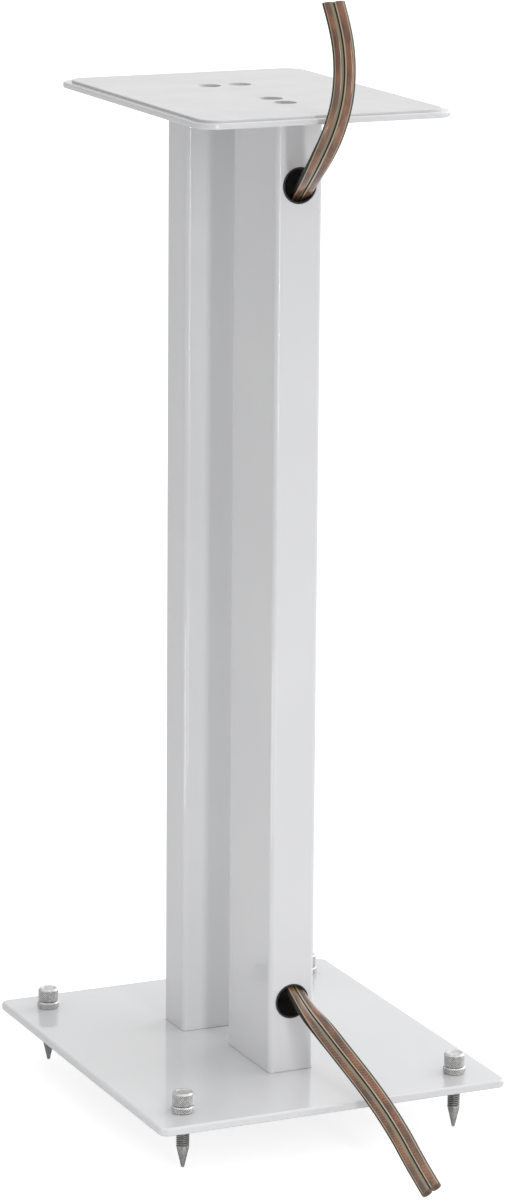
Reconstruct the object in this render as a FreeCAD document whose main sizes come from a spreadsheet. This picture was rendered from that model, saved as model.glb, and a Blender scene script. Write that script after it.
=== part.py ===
"""Speaker stand: a base plate on four levelling spikes, two steel columns set as a T, a top plate with a
pad, and a flat speaker cable that runs down inside the rear column.

Frame: +Z up, origin on the floor under the middle of the base plate, +Y towards the front of the stand,
so the cable holes face -Y. Left is -X and right is +X. Millimetres.
"""

import FreeCAD, Part

import math
import os

import Sketcher

V = FreeCAD.Vector

doc = FreeCAD.newDocument("speaker_stand")

# ---------------------------------------------------------------------------------------------------------
# Driving dimensions: alias, millimetres, what it is
# ---------------------------------------------------------------------------------------------------------
DIMENSIONS = [
    ("base_width", 230, "base plate, side to side"),
    ("base_depth", 265, "base plate, rear to front"),
    ("base_thickness", 5, "base plate steel"),
    ("base_corner", 5.5, "base plate corner radius"),
    ("base_rim", 1.6, "round along the base plate's upper edge"),
    ("base_foot_round", 0.8, "round along the base plate's lower edge"),
    ("base_clear", 30, "floor to underside of the base, spikes fully out"),
    ("top_width", 164, "top plate, side to side"),
    ("top_depth", 220, "top plate, rear to front"),
    ("top_thickness", 3.6, "top plate steel"),
    ("top_corner", 12.5, "top plate corner radius"),
    ("top_rim", 1, "round along the top plate's edges"),
    ("top_forward", 2, "top plate's middle ahead of the base plate's middle"),
    ("pad_inset", 4.2, "pad's edge inside the top plate's edge"),
    ("pad_thickness", 1.4, "speaker pad"),
    ("pad_corner", 12, "pad corner radius"),
    ("pad_bevel", 0.3, "bevel along the pad's upper edge"),
    ("pad_hole", 14, "diameter of the pad's holes over the screws"),
    ("tube_long", 63, "column section, long side"),
    ("tube_short", 30, "column section, short side"),
    ("tube_wall", 2, "column wall"),
    ("tube_corner", 3, "column outer corner radius"),
    ("tube_deburr", 0.4, "bevel round both ends of a column"),
    ("column_length", 590, "both columns, end to end"),
    ("rear_face", 66, "rear column's rear face behind the base's middle"),
    ("column_gap", 31.5, "clear space between the two columns"),
    ("end_plate_thickness", 6, "welded plate in each end of a column"),
    ("end_plate_fit", 0.1, "clearance round a welded end plate"),
    ("screw_pitch", 20, "distance between a column's two screws"),
    ("screw_diameter", 6, "column screws"),
    ("screw_clearance", 0.2, "radial clearance in the plates' holes"),
    ("screw_thread_gap", 0.05, "radial gap at the tapped holes"),
    ("tap_lead", 0.5, "bevel round the tapped holes where the screws enter"),
    ("screw_head", 12, "countersunk head diameter"),
    ("screw_grip", 7, "screw length inside a column's end plate"),
    ("socket_flats", 4, "hexagon socket across flats"),
    ("socket_depth", 2, "hexagon socket depth"),
    ("cable_hole_low", 45, "lower cable hole's middle above the column's foot"),
    ("cable_hole_high", 41.5, "upper cable hole's middle below the column's head"),
    ("grommet_bore", 19.6, "clear bore of a cable grommet"),
    ("grommet_sleeve", 21, "grommet sleeve and the hole in the column"),
    ("grommet_lip", 22, "grommet lip diameter"),
    ("grommet_lip_height", 0.5, "grommet lip proud of the column"),
    ("grommet_bead", 21.7, "snap bead behind the column wall"),
    ("grommet_bead_height", 1, "snap bead length"),
    ("spike_inset_side", 24, "spike axis in from the base's sides"),
    ("spike_inset_end", 24.5, "spike axis in from the base's front and rear"),
    ("spike_diameter", 8, "spike thread, outer diameter"),
    ("spike_cone", 13.5, "height of the spike's cone"),
    ("spike_tip", 1.8, "flat at the spike's point"),
    ("spike_neck", 6.4, "plain upper end of the spike, just under the thread's core"),
    ("spike_neck_length", 2, "length of the spike's plain upper end"),
    ("spike_fit", 0.05, "radial running gap round the spike"),
    ("nut_diameter", 14, "lock nut outer diameter"),
    ("nut_height", 4.4, "lock nut height"),
    ("nut_bevel", 0.9, "lock nut's upper and lower bevels"),
    ("cap_diameter", 12.8, "knurled cap outer diameter"),
    ("cap_height", 8, "knurled cap height"),
    ("cap_bevel", 1, "knurled cap's upper bevel"),
    ("cap_roof", 2, "metal over the spike inside the cap"),
    ("cap_dish", 0.4, "depth of the shallow dish in the cap's top"),
    ("cap_lift", 0.4, "gap between lock nut and cap, spikes fully out"),
    ("cable_core", 6, "thickness of the flat speaker cable"),
]

sheet = doc.addObject("Spreadsheet::Sheet", "sheet")
for row, (alias, size, meaning) in enumerate(DIMENSIONS, start=1):
    sheet.set(f"A{row}", meaning)
    sheet.set(f"B{row}", str(size))
    sheet.setAlias(f"B{row}", alias)
doc.recompute()


def size(expression):
    """The present value of an expression on the sheet's dimensions, in millimetres."""
    found = sheet.evalExpression(expression)
    return float(getattr(found, "Value", found))


# Levels and places that several pieces share, as expressions on the sheet
BASE_TOP = "sheet.base_clear + sheet.base_thickness"
COLUMN_HEAD = f"({BASE_TOP} + sheet.column_length)"
PLATE_TOP = f"({COLUMN_HEAD} + sheet.top_thickness)"
REAR_COLUMN_Y = "(-sheet.rear_face + sheet.tube_long / 2)"
FRONT_COLUMN_Y = "(-sheet.rear_face + sheet.tube_long + sheet.column_gap + sheet.tube_short / 2)"
SPIKE_X = "(sheet.base_width / 2 - sheet.spike_inset_side)"
SPIKE_Y = "(sheet.base_depth / 2 - sheet.spike_inset_end)"
HALF_PITCH = "sheet.screw_pitch / 2"
HEAD_CONE = "(sheet.screw_head - sheet.screw_diameter) / 2"

# The screws' places over the two columns: across the front one, along the rear one
SCREW_PLACES = [
    (f"-{HALF_PITCH}", FRONT_COLUMN_Y),
    (HALF_PITCH, FRONT_COLUMN_Y),
    ("0", f"({REAR_COLUMN_Y} - {HALF_PITCH})"),
    ("0", f"({REAR_COLUMN_Y} + {HALF_PITCH})"),
]

# The spikes' corners, as signs of X and Y
CORNERS = {
    "rear_left": (-1, -1),
    "rear_right": (1, -1),
    "front_left": (-1, 1),
    "front_right": (1, 1),
}


# ---------------------------------------------------------------------------------------------------------
# Shared ways of building
# ---------------------------------------------------------------------------------------------------------
def new_body(label, x="0", y="0", z="0", axis=None, turn=0):
    """A body whose place is bound to the sheet, turned by turn degrees about axis where one is given."""
    body = doc.addObject("PartDesign::Body", label)
    body.Label = label
    if axis is not None:
        body.Placement = FreeCAD.Placement(V(0, 0, 0), FreeCAD.Rotation(axis, turn))
    for letter, expression in zip("xyz", (x, y, z)):
        body.setExpression(f"Placement.Base.{letter}", expression)
    return body


def new_sketch(body, name, plane, lift=None):
    """A sketch on one of the body's own planes, lifted along that plane's normal where lift is given."""
    sketch = body.newObject("Sketcher::SketchObject", name)
    origin = body.Origin.OriginFeatures
    sketch.AttachmentSupport = (next(part for part in origin if part.Role == plane), [""])
    sketch.MapMode = "FlatFace"
    if lift is not None:
        sketch.setExpression("AttachmentOffset.Base.z", lift)
    return sketch


def pin(sketch, geometry, position, x, y):
    """Holds a sketch point at two expressions measured from the sketch's origin."""
    for kind, axis, expression in (("DistanceX", -2, x), ("DistanceY", -1, y)):
        if expression == "0":
            sketch.addConstraint(Sketcher.Constraint("PointOnObject", geometry, position, axis))
        else:
            held = Sketcher.Constraint(kind, -1, 1, geometry, position, size(expression))
            sketch.setExpression(f"Constraints[{sketch.addConstraint(held)}]", expression)


def outline(sketch, corners):
    """A closed outline of straight lines whose corners are pairs of expressions."""
    places = [V(size(x), size(y), 0) for x, y in corners]
    count = len(corners)
    lines = [Part.LineSegment(places[i], places[(i + 1) % count]) for i in range(count)]
    first = sketch.addGeometry(lines, False)[0]
    for i, (x, y) in enumerate(corners):
        after = first + (i + 1) % count
        sketch.addConstraint(Sketcher.Constraint("Coincident", first + i, 2, after, 1))
        pin(sketch, first + i, 1, x, y)
    return sketch


def rectangle(sketch, width, depth):
    """A rectangle about the sketch's origin."""
    left, right = f"-({width}) / 2", f"({width}) / 2"
    near, far = f"-({depth}) / 2", f"({depth}) / 2"
    return outline(sketch, [(left, near), (right, near), (right, far), (left, far)])


def circles(sketch, diameter, places):
    """Circles of one diameter at pairs of expressions."""
    for x, y in places:
        ring = Part.Circle(V(size(x), size(y), 0), V(0, 0, 1), size(diameter) / 2)
        circle = sketch.addGeometry(ring, False)
        pin(sketch, circle, 3, x, y)
        held = Sketcher.Constraint("Diameter", circle, size(diameter))
        sketch.setExpression(f"Constraints[{sketch.addConstraint(held)}]", diameter)
    return sketch


def feature(body, kind, name, sketch=None, **settings):
    """A PartDesign feature; settings that are text are expressions, the rest are plain values."""
    made = body.newObject(f"PartDesign::{kind}", name)
    if sketch is not None:
        made.Profile = sketch
        sketch.Visibility = False
    for key, setting in settings.items():
        if isinstance(setting, str):
            made.setExpression(key, setting)
        else:
            setattr(made, key, setting)
    doc.recompute()
    return made


def through(body, name, sketch, both=False):
    """A pocket cut right through what stands on the sketch's rear side, or on both of its sides."""
    return feature(body, "Pocket", name, sketch, Type=1, Midplane=both)


def edges_of(base, wanted):
    """The names of a feature's edges that pass a test."""
    edges = base.Shape.Edges
    return [f"Edge{i}" for i, edge in enumerate(edges, start=1) if wanted(edge)]


def upright(edge):
    """Whether an edge is a straight line along Z."""
    ends = [vertex.Point for vertex in edge.Vertexes]
    straight = isinstance(edge.Curve, Part.Line) and len(ends) == 2
    return straight and math.hypot(ends[0].x - ends[1].x, ends[0].y - ends[1].y) < 1e-6


def level(height):
    """A test for edges that lie wholly at one height."""

    def lies(edge):
        box = edge.BoundBox
        return abs(box.ZMin - height) < 1e-6 and abs(box.ZMax - height) < 1e-6

    return lies


def fillet(body, name, base, wanted, radius):
    """Rounds the edges of base that pass the test."""
    return feature(body, "Fillet", name, Base=(base, edges_of(base, wanted)), Radius=radius)


def chamfer(body, name, base, wanted, reach):
    """Bevels the edges of base that pass the test."""
    return feature(body, "Chamfer", name, Base=(base, edges_of(base, wanted)), Size=reach)


def revolve(body, name, sketch, axis="V_Axis"):
    """Turns a closed outline all the way round one of its sketch's axes."""
    return feature(body, "Revolution", name, sketch, ReferenceAxis=(sketch, [axis]), Angle=360.0)


# ---------------------------------------------------------------------------------------------------------
# Plates
# ---------------------------------------------------------------------------------------------------------
def countersunk_holes(body, places, height, from_above):
    """Countersunk clearance holes for the column screws, opening upwards or downwards at a height."""
    sketch = new_sketch(body, "screw_places", "XY_Plane", lift=height)
    circles(sketch, "sheet.screw_diameter + 2 * sheet.screw_clearance", places)
    doc.recompute()
    return feature(
        body,
        "Hole",
        "screw_holes",
        sketch,
        DepthType=1,
        ThreadType=0,
        HoleCutType=2,
        HoleCutCountersinkAngle=90.0,
        Reversed=not from_above,
        Diameter="sheet.screw_diameter + 2 * sheet.screw_clearance",
        HoleCutDiameter="sheet.screw_head + 2 * sheet.screw_clearance",
    )


def base_plate():
    """The base plate, with four tapped holes for the spikes and four countersunk holes from beneath."""
    body = new_body("base_plate", z="sheet.base_clear")
    slab = rectangle(new_sketch(body, "slab", "XY_Plane"), "sheet.base_width", "sheet.base_depth")
    plate = feature(body, "Pad", "plate", slab, Length="sheet.base_thickness")
    plate = fillet(body, "corners", plate, upright, "sheet.base_corner")
    plate = fillet(body, "rim", plate, level(size("sheet.base_thickness")), "sheet.base_rim")
    fillet(body, "foot", plate, level(0), "sheet.base_foot_round")
    spikes = [(f"{sx} * {SPIKE_X}", f"{sy} * {SPIKE_Y}") for sx, sy in CORNERS.values()]
    taps = circles(
        new_sketch(body, "spike_places", "XY_Plane"),
        "sheet.spike_diameter + 2 * sheet.spike_fit",
        spikes,
    )
    through(body, "spike_holes", taps, both=True)
    countersunk_holes(body, SCREW_PLACES, "0", from_above=False)
    return body


def top_plate():
    """The top plate, with countersunk holes over the columns' end plates."""
    body = new_body("top_plate", z=COLUMN_HEAD)
    slab = new_sketch(body, "slab", "XY_Plane")
    left, right = "-sheet.top_width / 2", "sheet.top_width / 2"
    near, far = "(sheet.top_forward - sheet.top_depth / 2)", "(sheet.top_forward + sheet.top_depth / 2)"
    outline(slab, [(left, near), (right, near), (right, far), (left, far)])
    plate = feature(body, "Pad", "plate", slab, Length="sheet.top_thickness")
    plate = fillet(body, "corners", plate, upright, "sheet.top_corner")
    upper, lower = level(size("sheet.top_thickness")), level(0)
    fillet(body, "rim", plate, lambda edge: upper(edge) or lower(edge), "sheet.top_rim")
    countersunk_holes(body, SCREW_PLACES, "sheet.top_thickness", from_above=True)
    return body


def top_pad():
    """The thin pad under the speaker, with a hole over each screw head."""
    body = new_body("top_pad", z=PLATE_TOP)
    left = "-(sheet.top_width / 2 - sheet.pad_inset)"
    right = "(sheet.top_width / 2 - sheet.pad_inset)"
    near = "(sheet.top_forward - sheet.top_depth / 2 + sheet.pad_inset)"
    far = "(sheet.top_forward + sheet.top_depth / 2 - sheet.pad_inset)"
    slab = outline(
        new_sketch(body, "slab", "XY_Plane"), [(left, near), (right, near), (right, far), (left, far)]
    )
    pad = feature(body, "Pad", "pad", slab, Length="sheet.pad_thickness")
    pad = fillet(body, "corners", pad, upright, "sheet.pad_corner")
    chamfer(body, "bevel", pad, level(size("sheet.pad_thickness")), "sheet.pad_bevel")
    holes = circles(new_sketch(body, "hole_places", "XY_Plane"), "sheet.pad_hole", SCREW_PLACES)
    through(body, "screw_openings", holes, both=True)
    return body


# ---------------------------------------------------------------------------------------------------------
# Columns
# ---------------------------------------------------------------------------------------------------------
def column(label, width, depth, y):
    """A rectangular tube with rounded corners, standing on the base plate."""
    body = new_body(label, y=y, z=BASE_TOP)
    outside = rectangle(new_sketch(body, "outside", "XY_Plane"), width, depth)
    tube = feature(body, "Pad", "tube", outside, Length="sheet.column_length")
    tube = fillet(body, "outer_corners", tube, upright, "sheet.tube_corner")
    foot, head = level(0), level(size("sheet.column_length"))
    chamfer(body, "deburred_ends", tube, lambda edge: foot(edge) or head(edge), "sheet.tube_deburr")
    bore_width, bore_depth = f"({width}) - 2 * sheet.tube_wall", f"({depth}) - 2 * sheet.tube_wall"
    inside = rectangle(new_sketch(body, "inside", "XY_Plane"), bore_width, bore_depth)
    hollow = through(body, "hollow", inside, both=True)
    reach_x, reach_y = size(bore_width) / 2 + 1e-3, size(bore_depth) / 2 + 1e-3

    def inner(edge):
        middle = edge.BoundBox.Center
        return upright(edge) and abs(middle.x) < reach_x and abs(middle.y) < reach_y

    fillet(body, "inner_corners", hollow, inner, "sheet.tube_corner - sheet.tube_wall")
    return body


def rear_column():
    """The rear column, with two round holes for the cable in its rear face."""
    body = column("rear_column", "sheet.tube_short", "sheet.tube_long", REAR_COLUMN_Y)
    heights = ("sheet.cable_hole_low", "(sheet.column_length - sheet.cable_hole_high)")
    holes = circles(
        new_sketch(body, "cable_holes", "XZ_Plane"), "sheet.grommet_sleeve", [("0", z) for z in heights]
    )
    feature(body, "Pocket", "cable_openings", holes, Type=1, Reversed=True)
    return body


def end_plate(label, width, depth, y, z, entry, over):
    """A steel plate welded into a column's end, with two tapped holes along the column's long side.

    The screws enter at the plate's own height entry, through a plate of thickness over. The holes are
    bevelled there by the lead, and by as much more as a screw's head cone is deeper than that plate.
    """
    body = new_body(label, y=y, z=z)
    fit = "2 * (sheet.tube_wall + sheet.end_plate_fit)"
    blank = rectangle(new_sketch(body, "blank", "XY_Plane"), f"{width} - {fit}", f"{depth} - {fit}")
    plate = feature(body, "Pad", "plate", blank, Length="sheet.end_plate_thickness")
    fillet(body, "corners", plate, upright, "sheet.tube_corner - sheet.tube_wall + sheet.end_plate_fit")
    along_x = size(width) > size(depth)
    places = [(f"{sign}{HALF_PITCH}", "0") if along_x else ("0", f"{sign}{HALF_PITCH}") for sign in ("-", "")]
    taps = circles(
        new_sketch(body, "taps", "XY_Plane"), "sheet.screw_diameter + 2 * sheet.screw_thread_gap", places
    )
    plate = through(body, "tapped_holes", taps, both=True)
    mouth = level(size(entry))
    chamfer(
        body,
        "tap_leads",
        plate,
        lambda edge: mouth(edge) and edge.isClosed(),
        f"sheet.tap_lead + max(0; {HEAD_CONE} - {over})",
    )
    return body


# ---------------------------------------------------------------------------------------------------------
# Screws and grommets
# ---------------------------------------------------------------------------------------------------------
def column_screw(name, x, y, z, plate, downwards):
    """A countersunk screw with a hexagon socket, head at z, shank through a plate into an end plate."""
    body = new_body(name, x=x, y=y, z=z, axis=V(1, 0, 0), turn=0 if downwards else 180)
    head, shank = "sheet.screw_head / 2", "sheet.screw_diameter / 2"
    cone = f"-({HEAD_CONE})"
    tip = f"-({plate} + sheet.screw_grip)"
    profile = new_sketch(body, "profile", "XZ_Plane")
    outline(profile, [("0", "0"), (head, "0"), (shank, cone), (shank, tip), ("0", tip)])
    revolve(body, "turned", profile)
    socket = new_sketch(body, "socket", "XY_Plane")
    across = "sheet.socket_flats"
    corner, half = f"{across} / sqrt(3)", f"{across} / sqrt(3) / 2"
    outline(
        socket,
        [
            (corner, "0"),
            (half, f"{across} / 2"),
            (f"-{half}", f"{across} / 2"),
            (f"-{corner}", "0"),
            (f"-{half}", f"-{across} / 2"),
            (half, f"-{across} / 2"),
        ],
    )
    feature(body, "Pocket", "hexagon_socket", socket, Type=0, Length="sheet.socket_depth")
    return body


def screw_set(label, z, plate, downwards):
    """Four column screws that share one node."""
    screws = [
        column_screw(f"{label}_{i}", x, y, z, plate, downwards)
        for i, (x, y) in enumerate(SCREW_PLACES, start=1)
    ]
    group = doc.addObject("Part::Compound", label)
    group.Label = label
    group.Links = screws
    return group


def grommet(label, z):
    """A cable grommet: a lip outside the column wall, a sleeve through it and a snap bead behind it."""
    face = "(-sheet.rear_face)"
    body = new_body(label, y=face, z=z, axis=V(1, 0, 0), turn=90)
    bore, sleeve = "sheet.grommet_bore / 2", "sheet.grommet_sleeve / 2"
    lip, bead = "sheet.grommet_lip / 2", "sheet.grommet_bead / 2"
    proud, wall = "sheet.grommet_lip_height", "-sheet.tube_wall"
    back = "(-sheet.tube_wall - sheet.grommet_bead_height)"
    soft = f"({back} + sheet.grommet_bead_height / 2)"
    profile = new_sketch(body, "profile", "XZ_Plane")
    outline(
        profile,
        [
            (bore, back),
            (sleeve, back),
            (bead, soft),
            (bead, wall),
            (sleeve, wall),
            (sleeve, "0"),
            (lip, "0"),
            (f"{lip} - {proud} / 2", proud),
            (f"{bore} + {proud} / 2", proud),
            (bore, f"{proud} / 2"),
        ],
    )
    revolve(body, "moulded", profile)
    return body


# ---------------------------------------------------------------------------------------------------------
# Levelling spikes
# ---------------------------------------------------------------------------------------------------------
NUT_TOP = f"({BASE_TOP} + sheet.nut_height)"
CAP_FOOT = f"({NUT_TOP} + sheet.cap_lift)"
STUD_TOP = f"({CAP_FOOT} + sheet.cap_height - sheet.cap_roof)"


def spike(corner, x, y):
    """A spike: a cone under a threaded stud, with a plain neck on top, that reaches up into its cap."""
    body = new_body(f"spike_{corner}", x=x, y=y)
    thread, tip = "sheet.spike_diameter / 2", "sheet.spike_tip / 2"
    neck, neck_foot = "sheet.spike_neck / 2", f"({STUD_TOP} - sheet.spike_neck_length)"
    profile = new_sketch(body, "profile", "XZ_Plane")
    outline(
        profile,
        [
            ("0", "0"),
            (tip, "0"),
            (thread, "sheet.spike_cone"),
            (thread, f"{neck_foot} - ({thread} - {neck})"),
            (neck, neck_foot),
            (neck, STUD_TOP),
            ("0", STUD_TOP),
        ],
    )
    revolve(body, "turned", profile)
    return body


def lock_nut(corner, x, y):
    """A round knurled nut that locks the spike against the base plate."""
    body = new_body(f"lock_nut_{corner}", x=x, y=y, z=BASE_TOP)
    bore, rim = "(sheet.spike_diameter / 2 + sheet.spike_fit)", "sheet.nut_diameter / 2"
    bevel, top = "sheet.nut_bevel", "sheet.nut_height"
    profile = new_sketch(body, "profile", "XZ_Plane")
    outline(
        profile,
        [
            (bore, "0"),
            (f"{rim} - {bevel}", "0"),
            (rim, bevel),
            (rim, f"{top} - {bevel}"),
            (f"{rim} - {bevel}", top),
            (bore, top),
        ],
    )
    revolve(body, "turned", profile)
    return body


def spike_cap(corner, x, y):
    """A round cap on the spike's upper end, bevelled, with a shallow dish in its top."""
    body = new_body(f"spike_cap_{corner}", x=x, y=y, z=CAP_FOOT)
    bore, rim = "(sheet.spike_diameter / 2 + sheet.spike_fit)", "sheet.cap_diameter / 2"
    top, roof = "sheet.cap_height", "(sheet.cap_height - sheet.cap_roof)"
    bevel, dish = "sheet.cap_bevel", "sheet.cap_dish"
    profile = new_sketch(body, "profile", "XZ_Plane")
    outline(
        profile,
        [
            (bore, "0"),
            (f"{rim} - {dish}", "0"),
            (rim, dish),
            (rim, f"{top} - {bevel}"),
            (f"{rim} - {bevel}", top),
            (f"{rim} - 2 * {bevel}", top),
            (f"{rim} - 2 * {bevel} - {dish}", f"{top} - {dish}"),
            ("0", f"{top} - {dish}"),
            ("0", roof),
            (bore, roof),
        ],
    )
    revolve(body, "turned", profile)
    return body


# ---------------------------------------------------------------------------------------------------------
# Speaker cable
# ---------------------------------------------------------------------------------------------------------
# The cable's route from its upper cut end, through the rear column, to its lower cut end on the floor
CABLE_UPPER = [
    (-2, -112, 697.5),
    (-0.5, -121, 681),
    (-0.5, -127, 662),
    (-1.5, -127, 641.5),
    (-3, -118, 620),
    (-2.5, -102, 604.5),
    (0, -84, 590),
    (0, -66, 579.3),
]
CABLE_INNER = [
    (0, -66, 579.3),
    (0, -49.2, 569.3),
    (0, -37, 550),
    (0.5, -34, 524),
    (1, -33, 488),
    (-1, -36, 440),
    (1.5, -33, 380),
    (-1, -35.5, 320),
    (1, -33, 262),
    (-1, -34.5, 214),
    (-2.5, -32.5, 177),
    (-4.5, -31.5, 147),
    (-5.7, -33, 122.5),
    (-6.2, -40, 104.5),
    (-4.2, -51.1, 91.9),
    (0, -66, 84.9),
]
CABLE_LOWER = [
    (0, -66, 84.9),
    (4.5, -82, 77.4),
    (5.5, -102, 68.5),
    (11, -123, 59),
    (17, -146, 44.5),
    (23.5, -168, 26.5),
    (25, -190, 12),
    (23.5, -212, 4),
]
ARC_SHARE = 0.45


def cable_path(points):
    """Straight runs joined by tangent arcs, and the smallest arc's radius.

    Each arc's radius is ARC_SHARE of the shorter of its two runs over the tangent of half the turn.
    """
    edges, radii, start = [], [], points[0]
    for before, corner, after in zip(points, points[1:], points[2:]):
        back, on = before - corner, after - corner
        turn = math.pi - back.getAngle(on)
        reach = ARC_SHARE * min(back.Length, on.Length)
        radius = reach / math.tan(turn / 2)
        entry = corner + V(back).normalize() * reach
        leave = corner + V(on).normalize() * reach
        inward = (V(back).normalize() + V(on).normalize()).normalize()
        middle = corner + inward * (radius / math.cos(turn / 2) - radius)
        edges.append(Part.LineSegment(start, entry).toShape())
        edges.append(Part.Arc(entry, middle, leave).toShape())
        radii.append(radius)
        start = leave
    edges.append(Part.LineSegment(start, points[-1]).toShape())
    return Part.Wire(edges), min(radii)


def cable_stretch(label, route):
    """One stretch of the cable as a plain tube along its route."""
    points = [V(*point) for point in route]
    path, tightest = cable_path(points)
    radius = size("sheet.cable_core") / 2
    section = Part.Wire([Part.makeCircle(radius, points[0], points[1] - points[0])])
    tube = path.makePipeShell([section], True, False)
    print(
        f"{label}: {path.Length:.1f} mm long, tightest arc {tightest:.1f} mm, "
        f"volume {tube.Volume / (math.pi * radius ** 2 * path.Length):.4f} of section times length"
    )
    stretch = doc.addObject("Part::Feature", label)
    stretch.Label = label
    stretch.Shape = tube
    return stretch


# ---------------------------------------------------------------------------------------------------------
# The stand
# ---------------------------------------------------------------------------------------------------------
def build():
    """Every piece of the stand, in the order it goes together."""
    long_side, short_side = "sheet.tube_long", "sheet.tube_short"
    foot, head = BASE_TOP, f"({COLUMN_HEAD} - sheet.end_plate_thickness)"
    pieces = [
        base_plate(),
        top_plate(),
        top_pad(),
        rear_column(),
        column("front_column", long_side, short_side, FRONT_COLUMN_Y),
        screw_set("top_plate_screws", PLATE_TOP, "sheet.top_thickness", downwards=True),
        screw_set("base_plate_screws", "sheet.base_clear", "sheet.base_thickness", downwards=False),
        grommet("cable_grommet_upper", f"({COLUMN_HEAD} - sheet.cable_hole_high)"),
        grommet("cable_grommet_lower", f"({BASE_TOP} + sheet.cable_hole_low)"),
        cable_stretch("cable_upper", CABLE_UPPER),
        cable_stretch("cable_inner", CABLE_INNER),
        cable_stretch("cable_lower", CABLE_LOWER),
    ]
    ends = [
        ("base", foot, "0", "sheet.base_thickness"),
        ("top", head, "sheet.end_plate_thickness", "sheet.top_thickness"),
    ]
    for end, *seat in ends:
        pieces.append(end_plate(f"rear_column_{end}_end_plate", short_side, long_side, REAR_COLUMN_Y, *seat))
        pieces.append(
            end_plate(f"front_column_{end}_end_plate", long_side, short_side, FRONT_COLUMN_Y, *seat)
        )
    for corner, (side, end) in CORNERS.items():
        x, y = f"{side} * {SPIKE_X}", f"{end} * {SPIKE_Y}"
        pieces += [spike(corner, x, y), lock_nut(corner, x, y), spike_cap(corner, x, y)]
    return pieces


def export(pieces):
    """Writes each piece to parts/, once every object of the document is sound."""
    doc.recompute()
    failed = [o.Name for o in doc.Objects if {"Invalid", "Error"} & set(o.State)]
    unsound = [p.Label for p in pieces if p.Shape.isNull() or not p.Shape.isValid()]
    if failed or unsound:
        raise RuntimeError(f"failed objects {failed}, unsound shapes {unsound}")
    os.makedirs("parts", exist_ok=True)
    for piece in pieces:
        piece.Shape.exportStep(os.path.join("parts", f"{piece.Label}.step"))


export(build())
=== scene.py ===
"""Looks of a speaker stand: white powder-coated plates and tubes on knurled levelling spikes, and a flat
two-core speaker cable in a clear jacket that runs down inside the rear column.

Metres, +Z up, the floor at zero, and the stand's rear face towards -Y.
"""

from __future__ import annotations

import logging
import math
from dataclasses import dataclass, field
from enum import Enum
from typing import Any, ClassVar

import bpy
import numpy as np
from mathutils import Matrix, Vector

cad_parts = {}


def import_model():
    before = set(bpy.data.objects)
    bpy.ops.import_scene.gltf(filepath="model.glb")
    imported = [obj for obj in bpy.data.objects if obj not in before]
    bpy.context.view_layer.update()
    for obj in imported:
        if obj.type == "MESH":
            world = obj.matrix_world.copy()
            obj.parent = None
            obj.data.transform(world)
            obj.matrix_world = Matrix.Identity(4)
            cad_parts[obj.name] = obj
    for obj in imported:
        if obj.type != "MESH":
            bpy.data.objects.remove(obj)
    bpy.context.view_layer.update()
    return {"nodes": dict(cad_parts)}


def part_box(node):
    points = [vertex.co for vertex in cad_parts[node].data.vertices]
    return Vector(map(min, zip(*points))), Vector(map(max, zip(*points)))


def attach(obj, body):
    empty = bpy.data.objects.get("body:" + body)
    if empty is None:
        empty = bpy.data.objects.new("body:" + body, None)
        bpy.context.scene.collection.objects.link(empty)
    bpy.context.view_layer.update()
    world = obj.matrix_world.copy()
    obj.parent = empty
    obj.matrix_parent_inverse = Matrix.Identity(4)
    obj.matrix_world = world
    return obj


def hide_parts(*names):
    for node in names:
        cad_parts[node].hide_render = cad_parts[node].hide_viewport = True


LOG = logging.getLogger("speaker_stand")
TURN = 2 * math.pi
MM = 0.001
CORNERS = {
    "rear_left": (-1, -1),
    "rear_right": (1, -1),
    "front_left": (-1, 1),
    "front_right": (1, 1),
}
ROOT_BODY = "stand"


# ---------------------------------------------------------------------------------------------------------
# Shader maths
# ---------------------------------------------------------------------------------------------------------
class Value:
    """A number, colour or vector that flows between the nodes of one material.

    Operators on numbers add Math nodes.
    """

    def __init__(self, bench: Bench, socket: bpy.types.NodeSocket | None) -> None:
        """Wraps an output socket of a node on a bench, or None for a node that has none."""
        self.bench = bench
        self.socket = socket

    def math(self, operation: str, *others: Value | float) -> Value:
        """This number and others through one Math node."""
        sockets = dict(enumerate((self, *others)))
        return self.bench.add("ShaderNodeMath", {"operation": operation}, sockets)

    def __add__(self, other: Value | float) -> Value:
        """The sum."""
        return self.math("ADD", other)

    def __sub__(self, other: Value | float) -> Value:
        """The difference."""
        return self.math("SUBTRACT", other)

    def __rsub__(self, other: float) -> Value:
        """The difference, from a plain number."""
        return self.bench.add("ShaderNodeMath", {"operation": "SUBTRACT"}, {0: other, 1: self})

    def __mul__(self, other: Value | float) -> Value:
        """The product."""
        return self.math("MULTIPLY", other)

    def __pow__(self, other: Value | float) -> Value:
        """The power."""
        return self.math("POWER", other)

    __radd__, __rmul__ = __add__, __mul__

    def __abs__(self) -> Value:
        """The size without its sign."""
        return self.math("ABSOLUTE")

    def below(self, limit: float) -> Value:
        """One where this is under a limit, and zero elsewhere."""
        return self.math("LESS_THAN", limit)

    def fraction(self) -> Value:
        """What is left past the whole number below."""
        return self.math("FRACT")

    def cosine(self) -> Value:
        """The cosine of this angle in radians."""
        return self.math("COSINE")

    def ramp(self, low: float, high: float) -> Value:
        """A smooth rise from zero at low to one at high."""
        settings = {"interpolation_type": "SMOOTHSTEP"}
        sockets = {"Value": self, "From Min": low, "From Max": high}
        return self.bench.add("ShaderNodeMapRange", settings, sockets)

    def band(self, low: float, high: float, fade: float) -> Value:
        """One between low and high and zero outside, with soft edges of the fade's width."""
        return self.ramp(low - fade, low) * (1 - self.ramp(high, high + fade))


Input = Value | float | tuple[float, ...]


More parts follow.
